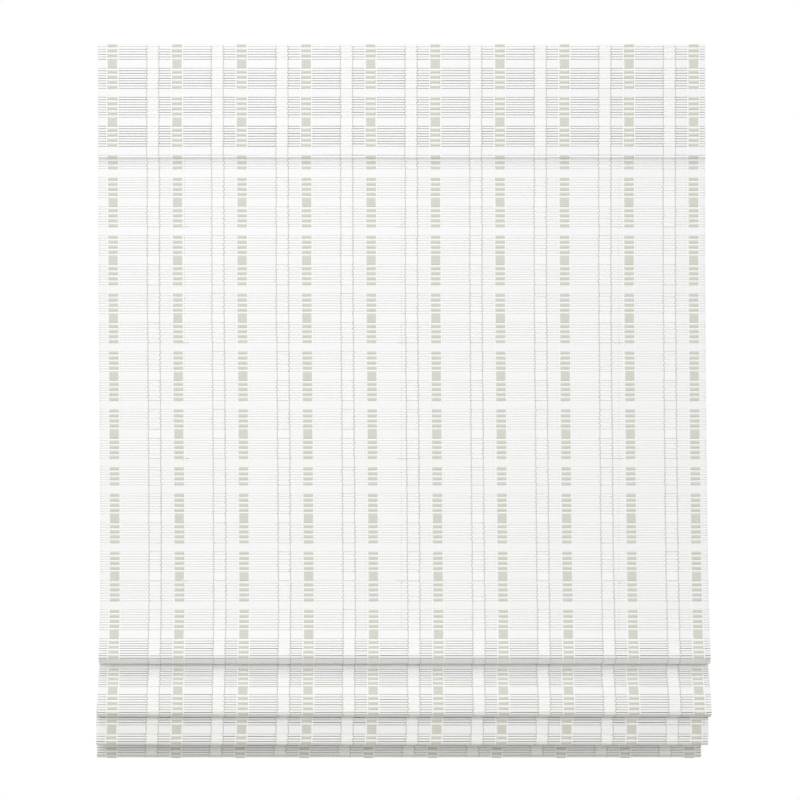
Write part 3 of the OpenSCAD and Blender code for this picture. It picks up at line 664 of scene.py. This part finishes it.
def threadObject(name, line, first, last, width, thick, over, zigzag=0.0, reach=0.0, bulge=0.0):
    # a flat thread that passes over some elements and under the others; reach is how far, in reeds, it
    # stays in front past each reed that it crosses, and bulge how far it stands out there
    points, marks = [], []
    inside = mat["thickness"] / 2 + thick * laying["depth"]

    def ring(centre, slope, s, stray=0.0):
        x, out = line.sideways(s) + stray, line.front(slope) * thick / 2
        for aside, rise, turn in ((-1, 0, -1), (0, 1, 0), (1, 0, 1), (0, -1, 2)):
            points.append((x + aside * width / 2, centre.x + out.x * rise, centre.y + out.y * rise))
            marks.append((turn * laying["turn"], s, 0.0))

    ring(line.joints[first], line.slopes[first], line.lengths[first])
    for i in range(first, last):
        slope, pitch, inFront = line.slopes[i], line.row[i], over(i)
        if pitch != reed:
            shares = laying["slat"]
        elif zigzag:
            shares = laying["knot"]
        elif not reach:
            shares = laying["reed"]
        elif not inFront:
            shares = laying["behind"]
        else:
            shares = (-reach, 0.5, 1 + reach) if bulge else (-reach, 1 + reach)
        for share in shares:
            s = line.lengths[i] + pitch * share
            raised = bulge if share == 0.5 and pitch == reed and inFront else 0.0
            height = (inside + raised) * (1 if inFront else -1)
            centre = line.joints[i] + line.way(slope) * pitch * share + line.front(slope) * height
            ring(centre, slope, s, zigzag * (1 if i % 2 else -1) if pitch == reed else 0.0)
    ring(line.joints[last], line.slopes[last - 1], line.lengths[last])
    count = len(points) // 4
    faces = [(i * 4 + j, (i + 1) * 4 + j, (i + 1) * 4 + (j + 1) % 4, i * 4 + (j + 1) % 4)
             for i in range(count - 1) for j in range(4)]
    faces += [(0, 1, 2, 3), tuple((count - 1) * 4 + j for j in (3, 2, 1, 0))]
    mesh = bpy.data.meshes.new(name)
    mesh.from_pydata(points, [], faces)
    if zigzag:
        mesh.shade_smooth()
    mesh.attributes.new("thread", "FLOAT_VECTOR", "POINT").data.foreach_set(
        "vector", [value for mark in marks for value in mark])
    return linked(bpy.data.objects.new(name, mesh))


# a stripe's yarns lie side by side, each as wide as its share of the stripe times the stripe's overlap
stripes = {"pitch": 90.3 * mm, "count": 10, "shift": 2.1 * mm, "stray": 0.25 * mm, "yarnThick": 0.5 * mm,
           "accentWidth": 12.5 * mm, "accentYarns": 5, "accentOverlap": 1.02, "accentReach": 0.04,
           "bulge": 0.65 * mm, "whiteOffset": 56.4 * mm, "whiteWidth": 15.2 * mm, "whiteYarns": 4,
           "whiteOverlap": 1.12, "whiteReach": -0.17, "whiteThick": 0.3 * mm, "sideOffset": 7.9 * mm,
           "sideWidth": 1.7 * mm, "edgeInset": 1.6 * mm, "edgeWidth": 1.2 * mm, "bindingOffset": 8.5 * mm,
           "bindingWidth": 1.1 * mm, "bindingThick": 0.5 * mm, "bindingZigzag": 0.9 * mm,
           "bindingStray": 2.2 * mm}
accentX = [(i - (stripes["count"] - 1) / 2) * stripes["pitch"] + stripes["shift"]
           for i in range(stripes["count"])]
whiteX = [x + stripes["whiteOffset"] for x in accentX[:-1]]


def across(centres, width, count):
    # places for the yarns of each stripe, and how far they are apart
    step = width / count
    return [x + (j - (count - 1) / 2) * step for x in centres for j in range(count)], step


def runThreads(name, places, thread, crossing, pattern, finish, stray=stripes["stray"]):
    mesh = pointMesh([(x, 0.0, 0.0) for x in places], crossing=[float(v) for v in pattern],
                     number=[float(i) for i in range(len(places))])
    piece = grown(name, mesh, repeatThreads, {"Thread": thread, "Crossing Thread": crossing, "Stray": stray,
                                              "Finish": finish})
    for used in {thread, crossing}:
        bpy.data.objects.remove(used)
    return piece


def weaveStretch(name, line, first, last):
    # all threads of one stretch: (piece, slot) pairs
    made, thick, thin = [], stripes["yarnThick"], stripes["whiteThick"]
    firstOver = 1 if line is shadeLine else 0

    def isOver(i):
        return i % 2 == firstOver

    def isUnder(i):
        return i % 2 != firstOver

    places, step = across(accentX, stripes["accentWidth"], stripes["accentYarns"])
    thread = threadObject("thread", line, first, last, step * stripes["accentOverlap"], thick, isOver,
                          reach=stripes["accentReach"], bulge=stripes["bulge"])
    made.append((runThreads(name + "AccentYarn", places, thread, thread, [0] * len(places),
                            finishes["accent_yarn"]), "accent_yarn"))
    places, step = across(whiteX, stripes["whiteWidth"], stripes["whiteYarns"])
    thread = threadObject("thread", line, first, last, step * stripes["whiteOverlap"], thin, isOver,
                          reach=stripes["whiteReach"])
    made.append((runThreads(name + "WhiteYarn", places, thread, thread, [0] * len(places),
                            finishes["white_yarn"]), "white_yarn"))
    edge = mat["width"] / 2 - stripes["edgeInset"]
    places = [x + side * stripes["sideOffset"] for x in accentX for side in (-1, 1)]
    thread = threadObject("thread", line, first, last, stripes["sideWidth"], thin, lambda i: True)
    crossing = threadObject("crossingThread", line, first, last, stripes["edgeWidth"], thick, isUnder)
    made.append((runThreads(name + "EdgeYarn", places + [-edge, edge], thread, crossing,
                            [0] * len(places) + [1, 1], finishes["white_yarn"]), "white_yarn"))
    places = [x + side * stripes["bindingOffset"] for x in whiteX for side in (-1, 1)]
    wide, flat, zigzag = stripes["bindingWidth"], stripes["bindingThick"], stripes["bindingZigzag"]
    thread = threadObject("thread", line, first, last, wide, flat, lambda i: True, zigzag)
    crossing = threadObject("crossingThread", line, first, last, wide, flat, lambda i: False, -zigzag)
    made.append((runThreads(name + "BindingYarn", places + places, thread, crossing,
                            [0] * len(places) + [1] * len(places), bindingYarn, stripes["bindingStray"]),
                 "accent_yarn"))
    return made


def onLine(line, joint):
    point = line.joints[joint]
    return (0.0, point.x, point.y)


def carry(piece, line, first, last, above, below):
    # hangs a stretch on its body when both ends are on one body, gathers the stretch that squashes, and leaves a
    # stretch between two bodies fixed where it lies
    if above == "squash":
        gather(piece, Vector(onLine(line, first)), Vector(onLine(line, last)))
    elif above == below:
        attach(piece, above)
    else:
        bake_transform(piece)


standsFor = {"painted_reed": "mat", "accent_yarn": "accent_yarn", "white_yarn": "white_yarn"}
allStretches = [("shade" + name, "shade_", shadeLine, a, b, above, below)
                for name, a, b, above, below in stretches]
allStretches.append(("valance", "valance_", valanceLine, 0, len(valanceRow), "headrail", "headrail"))
for name, part, line, first, last, above, below in allStretches:
    made = [(layStretch(name + "Reeds", line, first, last), "painted_reed")]
    made += weaveStretch(name, line, first, last)
    for piece, slotName in made:
        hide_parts(part + standsFor[slotName])
        carry(piece, line, first, last, above, below)
    "valance_hook_tape" if part == "valance_" else "shade_loop_tape"
    print(name, "woven,", last - first, "reeds and slats")
for shape in (reedShape, slatShape):
    bpy.data.objects.remove(shape)

# bends is where the cord runs through the first six rows, in ring radii behind the ring's middle, and
# stopBend where it comes to the last ring, in ring radii in front of and above its middle
cordSizes = {"radius": 0.7 * mm, "sides": 8, "shaftZ": -22 * mm, "shaftY": -10.175 * mm, "winding": 10 * mm,
             "turns": 4.5, "turnSteps": 20, "wound": 0.97, "bends": (0, 0, 0.19, 0.6, -0.53, 0.41),
             "stopBend": (0.5, 1.2), "ringRadius": 5.8 * mm, "ringWire": 2.4 * mm,
             "stations": (-305 * mm, 0.0, 305 * mm), "stopBore": 6 * mm, "slip": 0.3 * mm}


def ringMiddle(row):
    low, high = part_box("ring_row_%d" % row)
    return Vector((0.0, (low.y + high.y) / 2, (low.z + high.z) / 2))


def tubeMesh(name, paths, radius, sides):
    # round tubes along lists of points, with the way round and along kept for the braid
    points, marks, faces = [], [], []
    for path in paths:
        aside, s, base = Vector((1.0, 0.0, 0.0)), 0.0, len(points)
        for i, spot in enumerate(path):
            ahead, behind = path[min(i + 1, len(path) - 1)], path[max(i - 1, 0)]
            way = (ahead - behind).normalized()
            aside = (aside - way * aside.dot(way)).normalized()
            other = way.cross(aside)
            s += (spot - behind).length if i else 0.0
            for k in range(sides):
                turn = 2 * math.pi * k / sides
                points.append(spot + radius * (math.cos(turn) * aside + math.sin(turn) * other))
                marks += [abs(turn - math.pi), s, 0.0]
        count = len(path)
        faces += [(base + i * sides + k, base + i * sides + (k + 1) % sides,
                   base + (i + 1) * sides + (k + 1) % sides, base + (i + 1) * sides + k)
                  for i in range(count - 1) for k in range(sides)]
        faces += [tuple(base + k for k in reversed(range(sides))),
                  tuple(base + (count - 1) * sides + k for k in range(sides))]
    mesh = bpy.data.meshes.new(name)
    mesh.from_pydata(points, [], faces)
    mesh.shade_smooth()
    mesh.attributes.new("thread", "FLOAT_VECTOR", "POINT").data.foreach_set("vector", marks)
    return linked(bpy.data.objects.new(name, mesh))


def smoothPath(corners, steps):
    # a soft curve through the corners
    path = []
    for i in range(len(corners) - 1):
        before, a, b, after = (corners[min(max(j, 0), len(corners) - 1)] for j in (i - 1, i, i + 1, i + 2))
        for step in range(steps):
            t = step / steps
            path.append(0.5 * (2 * a + (b - before) * t + (2 * before - 5 * a + 4 * b - after) * t * t
                               + (3 * a - before - 3 * b + after) * t ** 3))
    return path + [corners[-1]]


def dressCords():
    rings = [ringMiddle(row) for row in range(1, 8)]
    bends = [ring + Vector((0, share * cordSizes["ringRadius"], 0))
             for ring, share in zip(rings, cordSizes["bends"])]
    cordY = cordSizes["shaftY"] - cordSizes["winding"]
    top = [Vector((0, cordY, cordSizes["shaftZ"])), Vector((0, cordY, anchorZ))]
    radius = cordSizes["ringRadius"]
    stopTop = rings[6] - Vector((0, 0, cordSizes["ringWire"] / 2 + cordSizes["slip"]))
    forward, up = cordSizes["stopBend"]
    last = [rings[6] + Vector((0, -forward * radius, up * radius)), stopTop,
            stopTop - Vector((0, 0, cordSizes["stopBore"] - cordSizes["slip"]))]
    parts = [("cordsTop", top, 1, "headrail", "headrail"),
             ("cordsFlat", [top[-1]] + bends[:4], 1, "squash", "squash"),
             ("cordsRow4", [bends[3], bends[4]], 6, "row_4", "row_5"),
             ("cordsRow5", [bends[4], bends[5]], 6, "row_5", "row_6"),
             ("cordsRow6", [bends[5]] + last, 4, "row_6", "bottom_rail")]
    for name, corners, steps, above, below in parts:
        line = smoothPath(corners, steps) if steps > 1 else corners
        paths = [[point + Vector((x, 0, 0)) for point in line] for x in cordSizes["stations"]]
        piece = tubeMesh(name, paths, cordSizes["radius"], cordSizes["sides"])
        piece.data.materials.append(finishes["cord"])
        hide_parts("lift_cord_1", "lift_cord_2", "lift_cord_3")
        if above == "squash":
            gather(piece, corners[0], corners[-1])
        elif above == below:
            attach(piece, above)
        else:
            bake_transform(piece)


def dressWindings():
    paths = []
    steps = int(cordSizes["turns"] * cordSizes["turnSteps"])
    for x in cordSizes["stations"]:
        path = []
        for i in range(steps + 1):
            turn = 2 * math.pi * i / cordSizes["turnSteps"]
            path.append(Vector((x - i / cordSizes["turnSteps"] * 2 * cordSizes["radius"],
                                cordSizes["shaftY"] - cordSizes["winding"] * math.cos(turn),
                                cordSizes["shaftZ"] + cordSizes["winding"] * math.sin(turn))))
        paths.append(path)
    piece = tubeMesh("cordWindings", paths, cordSizes["radius"] * cordSizes["wound"], cordSizes["sides"])
    piece.data.materials.append(finishes["cord"])
    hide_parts("lift_cord_1", "lift_cord_2", "lift_cord_3")
    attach(piece, "lift_shaft")


tieSizes = {"radius": 0.35 * mm, "sides": 6, "steps": 14, "turns": 3, "spread": 0.75 * mm,
            "height": 3.53 * mm, "square": 0.6}


def dressRingTies():
    # sewing thread that goes round each ring's wire and through the mat
    for row in range(1, 8):
        ring = ringMiddle(row)
        wire = ring.y - cordSizes["ringRadius"]
        backY = wire + cordSizes["ringWire"] / 2 + tieSizes["radius"]
        matBack = wire - cordSizes["ringWire"] / 2 - cordSizes["slip"]
        frontY = matBack - mat["thickness"] - tieSizes["radius"]
        paths = []
        for x in cordSizes["stations"]:
            for turn in range(tieSizes["turns"]):
                shift = (turn - 1) * tieSizes["spread"]
                path = []
                for i in range(tieSizes["steps"] + 1):
                    angle = 2 * math.pi * i / tieSizes["steps"]
                    squared = math.copysign(abs(math.cos(angle)) ** tieSizes["square"], math.cos(angle))
                    path.append(Vector((x + shift, (frontY + backY) / 2 + (backY - frontY) / 2 * squared,
                                        ring.z + tieSizes["height"] * math.sin(angle))))
                paths.append(path)
        piece = tubeMesh("ringTies%d" % row, paths, tieSizes["radius"], tieSizes["sides"])
        piece.data.materials.append(finishes["white_yarn"])
        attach(piece, "row_%d" % row if row < 7 else "bottom_rail")


dressCords()
dressWindings()
dressRingTies()
print("cords and ring ties made")

# the camera stands square to planeY, where a pixel of the 800 wide picture shows 1.4 mm
stageSizes = {"floorZ": -1.3, "floorHalf": 1.2, "floorColour": rgb(0.56, 0.545, 0.48), "frame": 800,
              "sensor": 36.0, "pixel": 1.4 * mm, "distance": 3.7, "planeY": -0.03, "centreX": -2.1 * mm,
              "centreZ": -0.49841}


def floorPiece():
    half, z = stageSizes["floorHalf"], stageSizes["floorZ"]
    mesh = bpy.data.meshes.new("floor")
    corners = [(-half, -half, z), (half, -half, z), (half, half, z), (-half, half, z)]
    mesh.from_pydata(corners, [], [(0, 1, 2, 3)])
    piece = linked(bpy.data.objects.new("floor", mesh))
    material, shader, start = newFinish("stageFloor", 0.9)
    shader.inputs["Base Color"].default_value = stageSizes["floorColour"]
    mesh.materials.append(material)


def softLight(name, spot, target, size, power):
    data = bpy.data.lights.new(name, "AREA")
    data.shape, data.size, data.energy = "SQUARE", size, power
    lamp = linked(bpy.data.objects.new(name, data))
    lamp.location = spot
    lamp.rotation_euler = (Vector(target) - Vector(spot)).to_track_quat("-Z", "Y").to_euler()


def lightWorld(ambient):
    world = bpy.data.worlds.new("studio")
    bpy.context.scene.world = world
    world.use_nodes = True
    tree = world.node_tree
    tree.nodes.clear()
    start = Wire(tree, None)
    rays = start.make("ShaderNodeLightPath", {}, {}).socket.node.outputs
    seen = start.sum("MAXIMUM", Wire(tree, rays["Is Camera Ray"]), Wire(tree, rays["Is Glossy Ray"]))
    seen = start.sum("MAXIMUM", seen, Wire(tree, rays["Is Transmission Ray"]))
    soft = start.make("ShaderNodeBackground", {}, {"Color": rgb(1, 1, 1), "Strength": ambient})
    plain = start.make("ShaderNodeBackground", {}, {"Color": rgb(1, 1, 1), "Strength": 1.0})
    both = start.make("ShaderNodeMixShader", {}, {0: seen, 1: soft, 2: plain})
    tree.links.new(both.socket, tree.nodes.new("ShaderNodeOutputWorld").inputs["Surface"])


def placeCamera():
    data = bpy.data.cameras.new("camera")
    data.sensor_width = stageSizes["sensor"]
    data.lens = stageSizes["sensor"] * stageSizes["distance"] / (stageSizes["frame"] * stageSizes["pixel"])
    data.clip_end = 50.0
    camera = linked(bpy.data.objects.new("camera", data))
    camera.location = (stageSizes["centreX"], stageSizes["planeY"] - stageSizes["distance"],
                       stageSizes["centreZ"])
    camera.rotation_euler = (math.radians(90), 0.0, 0.0)
    bpy.context.scene.camera = camera


# each lamp: name, place, the point it faces, size and power
light = {"ambient": 0.55,
         "lamps": [("key", (-0.5, -2.6, 0.05), (0, 0, -0.5), 1.2, 25.0),
                   ("top", (-0.3, -1.6, 3.0), (0, 0, -0.3), 1.0, 27.0),
                   ("fill", (0.3, -2.6, -1.0), (0, 0, -0.8), 1.0, 7.0)]}
floorPiece()
lightWorld(light["ambient"])
for lamp in light["lamps"]:
    softLight(*lamp)
placeCamera()
bpy.context.scene.view_settings.view_transform = "Standard"
print("stage set")
